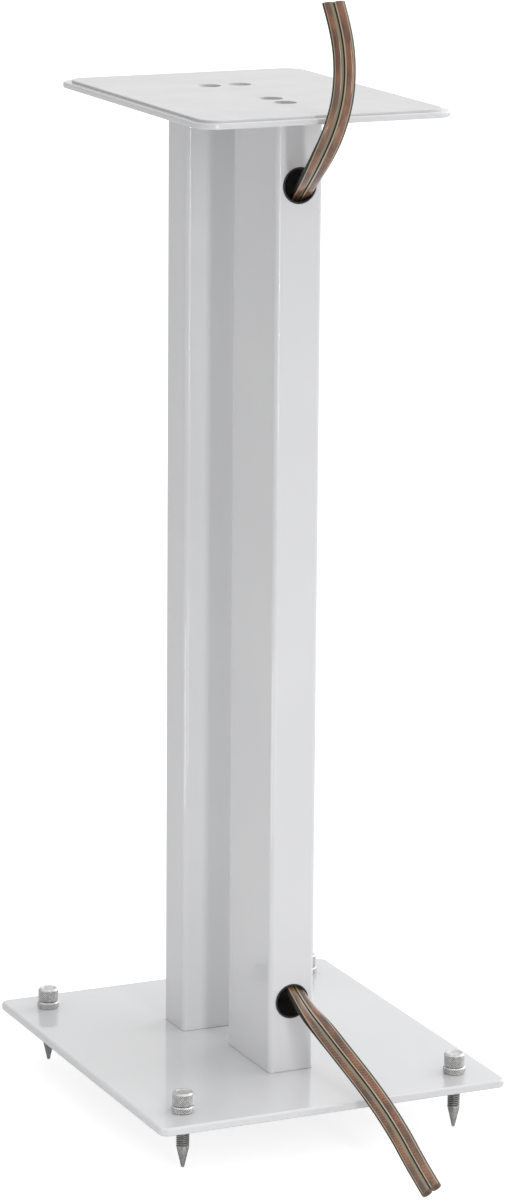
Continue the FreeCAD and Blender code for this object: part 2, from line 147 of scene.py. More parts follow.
class Bench:
    """The node tree of one material, where its nodes are added and joined."""

    def __init__(self, name: str) -> None:
        """Starts an empty material of that name."""
        self.material = bpy.data.materials.new(name)
        self.material.use_nodes = True
        self.tree = self.material.node_tree
        self.tree.nodes.clear()

    @classmethod
    def on(cls, tree: bpy.types.NodeTree) -> Bench:
        """A bench on a node tree that is no material's, such as the sky's."""
        bench = cls.__new__(cls)
        bench.material, bench.tree = None, tree
        return bench

    def add(
        self,
        kind: str,
        settings: dict[str, Any] | None = None,
        sockets: dict[str | int, Input] | None = None,
        output: str | int = 0,
    ) -> Value:
        """Adds one node.

        Args:
            kind: Blender's name of the node's type.
            settings: the node's own settings, set before its sockets.
            sockets: values or links of its input sockets, by name or number.
            output: the output socket to go on from.

        Returns:
            The chosen output.
        """
        node = self.tree.nodes.new(kind)
        for name, setting in (settings or {}).items():
            setattr(node, name, setting)
        for name, given in (sockets or {}).items():
            if isinstance(given, Value):
                self.tree.links.new(given.socket, node.inputs[name])
            else:
                node.inputs[name].default_value = given
        return Value(self, node.outputs[output] if node.outputs else None)

    def place(self) -> Value:
        """The point on the object, in metres."""
        return self.add("ShaderNodeTexCoord", output="Object")

    def split(self, vector: Value) -> tuple[Value, Value, Value]:
        """The three numbers of a vector."""
        parts = self.add("ShaderNodeSeparateXYZ", sockets={"Vector": vector}).socket.node.outputs
        return Value(self, parts["X"]), Value(self, parts["Y"]), Value(self, parts["Z"])

    def noise(self, where: Value, scale: float, detail: float = 2.0, stretch: tuple | None = None) -> Value:
        """Smooth noise from zero to one.

        Args:
            where: the point to read it at.
            scale: features per metre.
            detail: how many finer layers are added.
            stretch: factors on the point's three numbers, for a grain that runs one way.

        Returns:
            The noise.
        """
        if stretch is not None:
            where = self.add("ShaderNodeMapping", sockets={"Vector": where, "Scale": stretch})
        sockets = {"Vector": where, "Scale": scale, "Detail": detail}
        return self.add("ShaderNodeTexNoise", sockets=sockets)

    def mix(self, share: Value, first: Input, second: Input) -> Value:
        """A colour between two others."""
        settings = {"data_type": "RGBA"}
        sockets = {"Factor": share, 6: first, 7: second}
        return self.add("ShaderNodeMix", settings, sockets, output=2)

    def bump(self, height: Value, distance: float, strength: float = 1.0) -> Value:
        """The normal of a surface raised by height times distance, in metres."""
        sockets = {"Height": height, "Distance": distance, "Strength": strength}
        return self.add("ShaderNodeBump", sockets=sockets)

    def finish(self, **inputs: Input) -> bpy.types.Material:
        """Ends the material in a Principled shader.

        Args:
            inputs: its inputs, with underscores for the spaces in their names.

        Returns:
            The finished material.
        """
        sockets = {name.replace("_", " "): given for name, given in inputs.items()}
        shader = self.add("ShaderNodeBsdfPrincipled", sockets=sockets)
        self.add("ShaderNodeOutputMaterial", sockets={"Surface": shader})
        return self.material


# ---------------------------------------------------------------------------------------------------------
# Finishes
# ---------------------------------------------------------------------------------------------------------
Colour = tuple[float, float, float, float]


@dataclass(frozen=True)
class PowderCoat:
    """Glossy white powder coat with a faint orange peel; inside a tube the steel is bare."""

    name: str = "white_powder_coat"
    colour: Colour = (0.655, 0.657, 0.668, 1)
    shade: Colour = (0.632, 0.634, 0.648, 1)
    bare: Colour = (0.62, 0.6, 0.58, 1)
    peel: float = 620.0
    bore: tuple[float, float, float] | None = None

    def material(self) -> bpy.types.Material:
        """The finish as a material.

        bore holds a tube's inner half width and half depth and its middle's y. A point nearer the tube's
        axis than both halves lies on the bore.
        """
        bench = Bench(self.name)
        place = bench.place()
        cloud = bench.noise(place, 9.0, 3.0)
        colour = bench.mix(cloud.ramp(0.3, 0.7), self.colour, self.shade)
        peel = bench.noise(place, self.peel, 1.0)
        rough = 0.16 + 0.08 * bench.noise(place, 60.0, 4.0)
        if self.bore is not None:
            half_width, half_depth, middle = self.bore
            x, y, _ = bench.split(place)
            inside = abs(x).below(half_width) * abs(y - middle).below(half_depth)
            colour = bench.mix(inside, colour, self.bare)
            rough = rough + 0.4 * inside
        return bench.finish(
            Base_Color=colour,
            Roughness=rough,
            Normal=bench.bump(peel, 0.04 * MM, 0.2),
            Specular_IOR_Level=0.3,
            Coat_Weight=1.0,
            Coat_Roughness=0.03,
        )


@dataclass(frozen=True)
class PadSheet:
    """The matt white non-slip sheet on the top plate, with a fine leathery grain."""

    name: str = "white_pad"
    colour: Colour = (0.67, 0.67, 0.67, 1)
    shade: Colour = (0.645, 0.645, 0.65, 1)

    def material(self) -> bpy.types.Material:
        """The finish as a material."""
        bench = Bench(self.name)
        place = bench.place()
        grain = bench.add("ShaderNodeTexVoronoi", {"feature": "F1"}, {"Vector": place, "Scale": 1400.0})
        cloud = bench.noise(place, 30.0, 4.0)
        return bench.finish(
            Base_Color=bench.mix(cloud.ramp(0.35, 0.65), self.colour, self.shade),
            Roughness=0.5 + 0.15 * cloud,
            Normal=bench.bump(grain, 0.05 * MM, 0.5),
        )


@dataclass(frozen=True)
class TurnedMetal:
    """Plated metal with the fine rings that turning leaves, uneven gloss, and painted shade darkening its cut
    grooves.

    A piece's own attribute, from zero on its surface to one at the bottom of a groove, tells where those are.
    """

    name: str
    colour: Colour
    shade: Colour
    rough: float = 0.25
    rings: float = 5200.0
    # painted shade: the colour at the bottom of a cut groove
    groove_painted_shade: Colour = (0.03, 0.03, 0.03, 1)
    attribute: ClassVar[str] = "groove"

    def material(self) -> bpy.types.Material:
        """The finish as a material."""
        bench = Bench(self.name)
        place = bench.place()
        wear = bench.noise(place, 420.0, 4.0)
        rings = bench.noise(place, self.rings, 2.0, stretch=(0.02, 0.02, 1.0))
        groove = bench.add("ShaderNodeAttribute", {"attribute_name": self.attribute}, output="Fac")
        plated = bench.mix(wear.ramp(0.3, 0.75), self.colour, self.shade)
        return bench.finish(
            # painted shade: the colour darkens deeper in a knurl or thread groove
            Base_Color=bench.mix(groove.ramp(0.35, 1.0), plated, self.groove_painted_shade),
            Metallic=1.0,
            Roughness=self.rough + 0.18 * wear + 0.2 * groove,
            Normal=bench.bump(rings, 0.01 * MM, 0.4),
        )


@dataclass(frozen=True)
class BlackRubber:
    """Moulded black rubber."""

    name: str = "black_rubber"
    colour: Colour = (0.006, 0.006, 0.007, 1)
    bloom: Colour = (0.014, 0.014, 0.014, 1)

    def material(self) -> bpy.types.Material:
        """The finish as a material."""
        bench = Bench(self.name)
        place = bench.place()
        cloud = bench.noise(place, 300.0, 4.0)
        return bench.finish(
            Base_Color=bench.mix(cloud, self.colour, self.bloom),
            Roughness=0.45 + 0.2 * cloud,
            Normal=bench.bump(bench.noise(place, 2500.0), 0.02 * MM, 0.4),
        )


@dataclass(frozen=True)
class ClearJacket:
    """The cable's clear glossy jacket, with the twisted copper strands of both cores behind it.

    The cable's UV map gives, across, the angle round a core as a share of a turn (0 at the cable's outer
    edge, 0.5 at its web), plus 4 on the left core; and along, metres.
    """

    name: str = "clear_jacket"
    copper: Colour = (0.42, 0.175, 0.085, 1)
    # painted shade between the strands, along each strand's edges
    strand_gap_painted_shade: Colour = (0.055, 0.03, 0.022, 1)
    brown: Colour = (0.10, 0.058, 0.045, 1)
    straw: Colour = (0.21, 0.195, 0.125, 1)
    cream: Colour = (0.5, 0.44, 0.31, 1)
    # groove: painted shade for the crease at the web between the cores
    groove: Colour = (0.026, 0.022, 0.013, 1)
    # outline and the colour after it: painted shade, the dark line along the jacket's outer edge of the left
    # and right cores
    outline: Colour = (0.02, 0.017, 0.012, 1)
    right_edge_painted_shade: Colour = (0.05, 0.044, 0.038, 1)
    rim: Colour = (0.36, 0.30, 0.20, 1)
    strands: int = 18
    lay: float = 0.024

    def material(self) -> bpy.types.Material:
        """The finish as a material.

        Depth is the way across a core, from zero at the cable's outer edge to one at the web: half of one
        less the cosine of the angle. The jacket's edge carries a dark line of painted shade, then a pale
        band;
        the strands fill the middle, each darkened with painted shade along its edges; by the web the left
        core shows straw and the right core one cream line, and painted shade darkens the crease at the web. A
        strand's number is the angle's share times the strands, plus one more turn for each lay's length along
        the cable.
        """
        bench = Bench(self.name)
        route = bench.add("ShaderNodeUVMap", {"uv_map": Cable.uv_name}, output="UV")
        across, along, _ = bench.split(route)
        left = 1 - across.below(3.0)
        depth = 0.5 - 0.5 * (across * TURN).cosine()
        strand = (across.fraction() * self.strands + along * (self.strands / self.lay)).fraction()
        # painted shade mask: one along a strand's edges, zero at its middle
        painted_strand_edge_shade = abs(strand - 0.5).ramp(0.12, 0.46)
        cloud = bench.noise(route, 48.0, 3.0, stretch=(0.06, 1.0, 1.0))
        glint = bench.noise(route, 900.0, 2.0, stretch=(0.12, 1.0, 1.0))
        metal = bench.mix((0.6 * cloud + 0.5 * glint).ramp(0.44, 0.64), self.copper, self.brown)
        # painted shade darkens each strand towards its edges
        metal = bench.mix(painted_strand_edge_shade * 0.9, metal, self.strand_gap_painted_shade)
        colour = bench.mix(left * depth.ramp(0.58, 0.68) * (0.9 - 0.35 * painted_strand_edge_shade), metal, self.straw)
        colour = bench.mix((1 - left) * depth.band(0.8, 0.89, 0.04), colour, self.cream)
        # painted shade: a dark line along the jacket's outer edge, darker on the left core
        edge = bench.mix(left, self.right_edge_painted_shade, self.outline)
        colour = bench.mix(1 - depth.ramp(0.21, 0.26), colour, self.rim)
        colour = bench.mix(1 - depth.ramp(0.13, 0.17), colour, edge)
        # painted shade darkens the crease at the web
        colour = bench.mix(depth.ramp(0.89, 0.93), colour, self.groove)
        return bench.finish(
            Base_Color=colour,
            Roughness=0.35 + 0.2 * cloud,
            Specular_IOR_Level=0.25,
            Normal=bench.bump(strand, 0.03 * MM, 0.3),
            Coat_Weight=depth.band(0.2, 0.85, 0.12),
            Coat_Roughness=0.08,
        )


@dataclass(frozen=True)
class CutEnd:
    """The cable's cut end: two discs of copper strands in the clear jacket.

    The end's UV map gives the place across and through the cable, in millimetres.
    """

    name: str = "cut_end"
    copper: Colour = (0.24, 0.11, 0.06, 1)
    # painted shade between the strands' ends
    strand_gap_painted_shade: Colour = (0.04, 0.02, 0.014, 1)
    jacket: Colour = (0.13, 0.105, 0.075, 1)
    core_place: float = 3.2
    core_radius: float = 1.6

    def material(self) -> bpy.types.Material:
        """The finish as a material. A point is copper where it lies within a core's radius."""
        bench = Bench(self.name)
        place = bench.add("ShaderNodeUVMap", {"uv_map": Cable.uv_name}, output="UV")
        x, y, _ = bench.split(place)
        away = abs(x) - self.core_place
        reach = (away * away + y * y) ** 0.5
        strands = bench.add("ShaderNodeTexVoronoi", {"feature": "F1"}, {"Vector": place, "Scale": 3.6})
        # painted shade: each strand's end darkens towards its rim
        copper = bench.mix(strands.ramp(0.3, 0.6), self.copper, self.strand_gap_painted_shade)
        return bench.finish(
            Base_Color=bench.mix(reach.ramp(self.core_radius, self.core_radius + 0.08), copper, self.jacket),
            Roughness=0.4 + 0.2 * strands,
            Normal=bench.bump(strands, 0.1 * MM, 0.5),
        )


@dataclass(frozen=True)
class StudioFloor:
    """The plain white floor that is seen, lit in part from within so that shadows on it stay pale."""

    name: str = "studio_floor"
    colour: Colour = (0.45, 0.45, 0.45, 1)
    shade: Colour = (0.44, 0.44, 0.44, 1)
    glow: float = 0.75

    def material(self) -> bpy.types.Material:
        """The finish as a material."""
        bench = Bench(self.name)
        cloud = bench.noise(bench.place(), 0.8, 2.0)
        return bench.finish(
            Base_Color=bench.mix(cloud, self.colour, self.shade),
            Roughness=0.7,
            Emission_Color=(1.0, 1.0, 1.0, 1.0),
            Emission_Strength=self.glow,
        )


@dataclass(frozen=True)
class BounceFloor:
    """The unseen floor, about as light as the stand."""

    name: str = "studio_bounce"
    colour: Colour = (0.68, 0.68, 0.68, 1)
    shade: Colour = (0.66, 0.66, 0.66, 1)

    def material(self) -> bpy.types.Material:
        """The finish as a material."""
        bench = Bench(self.name)
        cloud = bench.noise(bench.place(), 0.8, 2.0)
        return bench.finish(Base_Color=bench.mix(cloud, self.colour, self.shade), Roughness=0.9)


class Metal(Enum):
    """The plated metals, by the record's material slots."""

    KNURLED = TurnedMetal("bright_knurled_metal", (0.72, 0.72, 0.71, 1), (0.55, 0.55, 0.55, 1), 0.28)
    SPIKE = TurnedMetal("plated_spike_steel", (0.56, 0.56, 0.55, 1), (0.38, 0.38, 0.37, 1), 0.2)
    SCREW = TurnedMetal("zinc_screw_steel", (0.68, 0.68, 0.68, 1), (0.52, 0.52, 0.52, 1), 0.3)
    BARE = TurnedMetal("bare_plate_steel", (0.3, 0.29, 0.28, 1), (0.18, 0.17, 0.16, 1), 0.42, 900.0)


# ---------------------------------------------------------------------------------------------------------
# Surfaces
# ---------------------------------------------------------------------------------------------------------
def grid_faces(rows: int, columns: int, first: int = 0) -> np.ndarray:
    """Four-sided faces between the neighbours of a grid of vertices that is closed across its columns.

    Args:
        rows: vertices along the open direction.
        columns: vertices round the closed direction.
        first: number of the grid's first vertex.

    Returns:
        One row of four vertex numbers for each face.
    """
    row = np.arange(rows - 1)[:, None]
    column = np.arange(columns)[None, :]
    beside = (column + 1) % columns
    corners = (row * columns + column, row * columns + beside)
    upper = ((row + 1) * columns + beside, (row + 1) * columns + column)
    return first + np.stack((*corners, *upper), axis=-1).reshape(-1, 4)


def rounded(corners: np.ndarray, reach: np.ndarray, steps: int = 5) -> np.ndarray:
    """A profile with its corners rounded.

    Each corner becomes the curve (1-t)^2 entry + 2t(1-t) corner + t^2 leave, where entry and leave lie on
    the two sides at the corner's reach.

    Args:
        corners: the profile's corners, one row each.
        reach: each inner corner's reach along its sides, in metres.
        steps: points on each rounded corner.

    Returns:
        The points of the rounded profile, its two ends included.
    """
    inner = corners[1:-1]
    back, on = corners[:-2] - inner, corners[2:] - inner
    back = back / np.linalg.norm(back, axis=1, keepdims=True)
    on = on / np.linalg.norm(on, axis=1, keepdims=True)
    entry, leave = inner + back * reach[:, None], inner + on * reach[:, None]
    t = np.linspace(0, 1, steps)[None, :, None]
    curve = (1 - t) ** 2 * entry[:, None] + 2 * t * (1 - t) * inner[:, None] + t**2 * leave[:, None]
    return np.concatenate((corners[:1], curve.reshape(-1, 2), corners[-1:]))


def densified(profile: np.ndarray, low: float, high: float, step: float) -> np.ndarray:
    """A profile with more points on the part whose height is between two levels.

    Points are added at even lengths along the profile, and kept where they lie between the levels.

    Args:
        profile: (radius, height) points.
        low: the lower level.
        high: the upper level.
        step: the distance between the added points.

    Returns:
        The profile's points with those added, in order.
    """
    lengths = np.concatenate(([0.0], np.cumsum(np.linalg.norm(np.diff(profile, axis=0), axis=1))))
    extra = np.arange(step, lengths[-1], step)
    height = np.interp(extra, lengths, profile[:, 1])
    radius = np.interp(extra, lengths, profile[:, 0])
    outermost = radius > 0.9 * profile[:, 0].max()
    extra = extra[(height > low) & (height < high) & outermost]
    every = np.unique(np.concatenate((lengths, extra)).round(9))
    return np.column_stack([np.interp(every, lengths, profile[:, k]) for k in range(2)])


def window(height: np.ndarray, low: float, high: float, fade: float) -> np.ndarray:
    """One between two levels and zero outside them, with straight slopes of the fade's length inside."""
    return np.clip(np.minimum(height - low, high - height) / fade, 0, 1)


def revolved(radius: np.ndarray, height: np.ndarray, centre: tuple[float, float]) -> np.ndarray:
    """The grid of points at a grid of radii round an upright axis.

    A point is (centre x + radius cos a, centre y + radius sin a, height), with a going once round over the
    grid's columns.

    Args:
        radius: radii, one row for each profile point and one column for each angle.
        height: heights, one for each row.
        centre: the axis's x and y.

    Returns:
        The points, in the grid's rows and columns.
    """
    angle = np.arange(radius.shape[1]) * (TURN / radius.shape[1])
    x, y = centre[0] + radius * np.cos(angle), centre[1] + radius * np.sin(angle)
    return np.stack((x, y, np.broadcast_to(height[:, None], radius.shape)), axis=-1)


def lathe(
    radius: np.ndarray, height: np.ndarray, groove: np.ndarray, centre: tuple[float, float]
) -> tuple[np.ndarray, list, np.ndarray]:
    """A closed surface of revolution from a grid of radii.

    The first and last rows lie on the axis and become one vertex each.

    Args:
        radius: radii, one row for each profile point and one column for each angle.
        height: heights, one for each row.
        groove: how deep in a groove each point lies, from zero to one.
        centre: the axis's x and y.

    Returns:
        The vertices, the faces, and each vertex's place in a groove.
    """
    rows, columns = radius.shape
    ring = revolved(radius, height, centre)[1:-1].reshape(-1, 3)
    poles = np.array([(*centre, height[0]), (*centre, height[-1])])
    points = np.concatenate((ring, poles))
    faces = grid_faces(rows - 2, columns).tolist()
    here, beside = np.arange(columns), (np.arange(columns) + 1) % columns
    bottom, top, last = len(ring), len(ring) + 1, (rows - 3) * columns
    faces += np.column_stack((np.full(columns, bottom), beside, here)).tolist()
    faces += np.column_stack((np.full(columns, top), last + here, last + beside)).tolist()
    return points, faces, np.concatenate((groove[1:-1].ravel(), (0.0, 0.0)))


def make_piece(name: str, points: np.ndarray, faces: list, material: bpy.types.Material) -> bpy.types.Object:
    """A smooth-shaded mesh object at the origin.

    Args:
        name: the piece's name.
        points: its vertices, in metres.
        faces: its faces, as vertex numbers.
        material: its finish.

    Returns:
        The object, linked to the scene.
    """
    mesh = bpy.data.meshes.new(name)
    mesh.from_pydata(points.tolist(), [], faces)
    mesh.polygons.foreach_set("use_smooth", np.ones(len(mesh.polygons), bool))
    mesh.materials.append(material)
    mesh.update()
    piece = bpy.data.objects.new(name, mesh)
    bpy.context.scene.collection.objects.link(piece)
    LOG.info("piece %s: %d faces", name, len(mesh.polygons))
    return piece


def mark_grooves(piece: bpy.types.Object, groove: np.ndarray) -> None:
    """Stores on each vertex of a piece how deep in a groove it lies, from zero to one."""
    layer = piece.data.attributes.new(TurnedMetal.attribute, "FLOAT", "POINT")
    layer.data.foreach_set("value", groove.astype(np.float32))


def face_corners(piece: bpy.types.Object) -> np.ndarray:
    """The vertex number at each corner of a piece's faces."""
    corner = np.empty(len(piece.data.loops), int)
    piece.data.loops.foreach_get("vertex_index", corner)
    return corner


def give_uv(piece: bpy.types.Object, name: str, uv: np.ndarray) -> None:
    """Stores a UV map of that name on a piece, from one row for each corner of its faces."""
    piece.data.uv_layers.new(name=name).data.foreach_set("uv", uv.ravel())


def sharpen(piece: bpy.types.Object, angle: float) -> None:
    """Marks a piece's edges sharper than an angle, in degrees, so that they shade as edges."""
    piece.data.set_sharp_from_angle(angle=math.radians(angle))


def dress(nodes: dict[str, bpy.types.Object], names: tuple[str, ...], material: bpy.types.Material) -> None:
    """Gives CAD nodes a finish.

    Args:
        nodes: the frame's objects by name.
        names: the nodes to dress.
        material: their finish.
    """
    for name in names:
        for slot in nodes[name].material_slots:
            slot.material = material
        LOG.info("dressed %s in %s", name, material.name)


# ---------------------------------------------------------------------------------------------------------
# Plates and columns
# ---------------------------------------------------------------------------------------------------------
@dataclass
class Body:
    """The welded and screwed body: plates, pad, columns, end plates, screws and grommets."""

    tube_wall: float = 2 * MM
    tube_slack: float = 0.05 * MM
    plates: tuple[str, ...] = ("base_plate", "top_plate")
    columns: tuple[str, ...] = ("rear_column", "front_column")
    end_plates: tuple[str, ...] = (
        "rear_column_base_end_plate",
        "rear_column_top_end_plate",
        "front_column_base_end_plate",
        "front_column_top_end_plate",
    )
    screws: tuple[str, ...] = ("top_plate_screws", "base_plate_screws")
    grommets: tuple[str, ...] = ("cable_grommet_upper", "cable_grommet_lower")

    def column_coat(self, name: str) -> bpy.types.Material:
        """Powder coat for one column, bare inside its bore, from the column's own box."""
        low, high = (Vector(corner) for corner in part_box(name))
        middle = (low + high) / 2
        half = (high - low) / 2
        inset = self.tube_wall - self.tube_slack
        return PowderCoat(f"powder_coat_{name}", bore=(half.x - inset, half.y - inset, middle.y)).material()

    def dress(self, nodes: dict[str, bpy.types.Object]) -> None:
        """Gives every CAD node of the body its finish."""
        dress(nodes, self.plates, PowderCoat().material())
        for name in self.columns:
            dress(nodes, (name,), self.column_coat(name))
        dress(nodes, ("top_pad",), PadSheet().material())
        dress(nodes, self.end_plates, Metal.BARE.value.material())
        dress(nodes, self.screws, Metal.SCREW.value.material())
        dress(nodes, self.grommets, BlackRubber().material())


# ---------------------------------------------------------------------------------------------------------
# Levelling spikes
# ---------------------------------------------------------------------------------------------------------
@dataclass
class Knurl:
    """A diamond knurl cut into a round wall."""

    count: int = 28
    depth: float = 0.34 * MM
    per_diamond: int = 12

    def cut(self, angle: np.ndarray, height: np.ndarray, radius: float) -> np.ndarray:
        """How deep the knurl lies at each angle and height.

        Two families of grooves cross. Their numbers are count * angle / turn plus and minus height over the
        diamond's height, which is the diamond's width; a groove is deepest where its number is whole, and
        the deeper of the two counts.

        Args:
            angle: angles, in radians.
            height: heights, in metres.
            radius: the wall's radius.

        Returns:
            The depth under the wall, in metres.
        """
        width = TURN * radius / self.count
        around, up = self.count * angle / TURN, height / width
        first, second = (np.abs(2 * ((around + sign * up) % 1.0) - 1) for sign in (1, -1))
        return self.depth * np.clip(np.maximum(first, second) * 1.9 - 0.9, 0, 1)


@dataclass
class SpikeSet:
    """Four levelling spikes, each with its lock nut and its cap, built over their CAD nodes.

    Each shape method returns a piece's vertices, its faces, and how deep in a groove each vertex lies.
    """

    axis_x: float = 91 * MM
    axis_y: float = 108 * MM
    bore: float = 4.05 * MM
    nut_foot: float = 35 * MM
    nut_radius: float = 7 * MM
    nut_height: float = 4.4 * MM
    nut_bevel: float = 0.9 * MM
    cap_foot: float = 39.8 * MM
    cap_radius: float = 6.4 * MM
    cap_height: float = 8 * MM
    cap_bevel: float = 1.0 * MM
    cap_roof: float = 6 * MM
    cap_dish: float = 0.4 * MM
    thread_radius: float = 4 * MM
    thread_pitch: float = 1.25 * MM
    thread_depth: float = 0.62 * MM
    stud_top: float = 45.8 * MM
    cone_height: float = 13.5 * MM
    tip_radius: float = 0.9 * MM
    neck_radius: float = 3.2 * MM
    neck_length: float = 2 * MM
    knurl: Knurl = field(default_factory=Knurl)

    def ring(self, corners: np.ndarray, reach: np.ndarray, wall: float, low: float, high: float) -> tuple:
        """A knurled ring's radii and heights.

        Args:
            corners: its profile, from the inside of its foot round to the inside of its top.
            reach: how far each inner corner is rounded.
            wall: the knurled wall's radius.
            low: where the knurl starts.
            high: where the knurl ends.

        Returns:
            The grid of radii, the heights, and how deep in a groove each point lies.
        """
        profile = densified(rounded(corners, reach), low, high, 0.1 * MM)
        angle = np.arange(self.knurl.count * self.knurl.per_diamond) * TURN
        angle = angle / (self.knurl.count * self.knurl.per_diamond)
        height = profile[:, 1]
        cut = self.knurl.cut(angle[None, :], height[:, None], wall)
        on_wall = profile[:, 0] > wall - 0.8 * self.cap_bevel
        cut = cut * (window(height, low, high, 0.35 * MM) * on_wall)[:, None]
        return profile[:, 0][:, None] - cut, height, cut / self.knurl.depth

    def lock_nut(self, centre: tuple[float, float]) -> tuple[np.ndarray, list, np.ndarray]:
        """A lock nut: a knurled ring, bevelled above and below, open for the spike."""
        foot, top = self.nut_foot, self.nut_foot + self.nut_height
        rim, bevel = self.nut_radius, self.nut_bevel
        corners = np.array(
            [
                (self.bore, (foot + top) / 2),
                (self.bore, foot),
                (rim - bevel, foot),
                (rim, foot + bevel),
                (rim, top - bevel),
                (rim - bevel, top),
                (self.bore, top),
                (self.bore, (foot + top) / 2),
            ]
        )
        reach = np.array([0.1, 0.2, 0.25, 0.25, 0.2, 0.1]) * MM
        radius, height, groove = self.ring(corners, reach, rim, foot + 0.7 * bevel, top - 0.7 * bevel)
        points = revolved(radius, height, centre)[:-1].reshape(-1, 3)
        faces = grid_faces(*radius.shape) % len(points)
        return points, faces.tolist(), groove[:-1].ravel()

    def cap(self, centre: tuple[float, float]) -> tuple[np.ndarray, list, np.ndarray]:
        """A cap: knurled wall, bevelled rim, and a shallow dish in the top."""
        foot, top, rim = self.cap_foot, self.cap_foot + self.cap_height, self.cap_radius
        bevel, dish, roof = self.cap_bevel, self.cap_dish, self.cap_foot + self.cap_roof
        corners = np.array(
            [
                (0, roof),
                (self.bore, roof),
                (self.bore, foot),
                (rim - dish, foot),
                (rim, foot + dish),
                (rim, top - bevel),
                (rim - bevel, top),
                (rim - 2 * bevel, top),
                (rim - 2 * bevel - dish, top - dish),
                (0, top - dish),
            ]
        )
        reach = np.array([0.2, 0.1, 0.12, 0.12, 0.12, 0.12, 0.1, 0.1]) * MM
        return lathe(*self.ring(corners, reach, rim, foot + 0.5 * dish, top - 0.9 * bevel), centre)

    def spike(self, centre: tuple[float, float]) -> tuple[np.ndarray, list, np.ndarray]:
        """A spike: a blunt cone under a right-hand thread, with a plain neck on top.

        The thread's depth is a triangle wave of height over pitch less angle over a turn, so a groove rises
        by one pitch for each turn to the left, and it fades out at both ends of the stud.
        """
        outer, cone, neck = self.thread_radius, self.cone_height, self.neck_radius
        neck_foot = self.stud_top - self.neck_length
        corners = np.array(
            [
                (0, 0),
                (self.tip_radius, 0),
                (outer, cone),
                (outer, neck_foot - (outer - neck)),
                (neck, neck_foot),
                (neck, self.stud_top),
                (0, self.stud_top),
            ]
        )
        reach = np.array([0.3, 0.3, 0.2, 0.2, 0.2]) * MM
        low, high = cone - 0.3 * MM, neck_foot - 0.5 * (outer - neck)
        profile = densified(rounded(corners, reach), low, high, self.thread_pitch / 10)
        columns = 64
        share = np.arange(columns) / columns
        height = profile[:, 1]
        wave = np.abs(2 * ((height[:, None] / self.thread_pitch - share[None, :]) % 1.0) - 1)
        groove = self.thread_depth * np.clip(1.3 * wave - 0.2, 0, 1)
        cut = groove * window(height, low, high, 0.8 * self.thread_pitch)[:, None]
        return lathe(profile[:, 0][:, None] - cut, height, cut / self.thread_depth, centre)

    def build(self) -> None:
        """Builds the twelve pieces, each riding on the body of the node that it replaces."""
        shiny, dark = Metal.KNURLED.value.material(), Metal.SPIKE.value.material()
        kinds = (
            ("spike", self.spike, dark, "spike_steel", 30),
            ("lock_nut", self.lock_nut, shiny, "knurled_metal", 28),
            ("spike_cap", self.cap, shiny, "knurled_metal", 28),
        )
        for corner, (side, end) in CORNERS.items():
            centre = (side * self.axis_x, end * self.axis_y)
            for kind, shape, material, slot, crease in kinds:
                node = f"{kind}_{corner}"
                points, faces, groove = shape(centre)
                piece = make_piece(f"turned_{node}", points, faces, material)
                mark_grooves(piece, groove)
                sharpen(piece, crease)
                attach(piece, node)
                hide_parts(node)


# ---------------------------------------------------------------------------------------------------------
# Speaker cable
# ---------------------------------------------------------------------------------------------------------
class Stretch(Enum):
    """The cable's stretches, with the control points of each one's route in metres, from the top down."""

    UPPER = (
        (-0.0018, -0.113, 0.6957),
        (-0.0005, -0.121, 0.681),
        (-0.0005, -0.127, 0.662),
        (-0.0015, -0.127, 0.6415),
        (-0.003, -0.118, 0.6211),
        (-0.003, -0.102, 0.6045),
        (-0.0014, -0.084, 0.5906),
        (0.0022, -0.066, 0.5804),
    )
    INNER = (
        (0.0022, -0.066, 0.5804),
        (0.0054, -0.0498, 0.5712),
        (0.0, -0.037, 0.55),
        (0.0005, -0.034, 0.524),
        (0.001, -0.033, 0.488),
        (-0.001, -0.036, 0.44),
        (0.0015, -0.033, 0.38),
        (-0.001, -0.0355, 0.32),
        (0.001, -0.033, 0.262),
        (-0.001, -0.0345, 0.214),
        (-0.0025, -0.0325, 0.177),
        (-0.0045, -0.0315, 0.147),
        (-0.0057, -0.033, 0.1225),
        (-0.0062, -0.04, 0.1045),
        (0.0034, -0.0516, 0.09),
        (0.0025, -0.066, 0.0851),
    )
    LOWER = (
        (0.0025, -0.066, 0.0851),
        (0.0016, -0.082, 0.0796),
        (0.0051, -0.102, 0.0714),
        (0.0101, -0.123, 0.0595),
        (0.017, -0.146, 0.0445),
        (0.0235, -0.168, 0.0265),
        (0.025, -0.19, 0.012),
        (0.0234, -0.2137, 0.0047),
    )


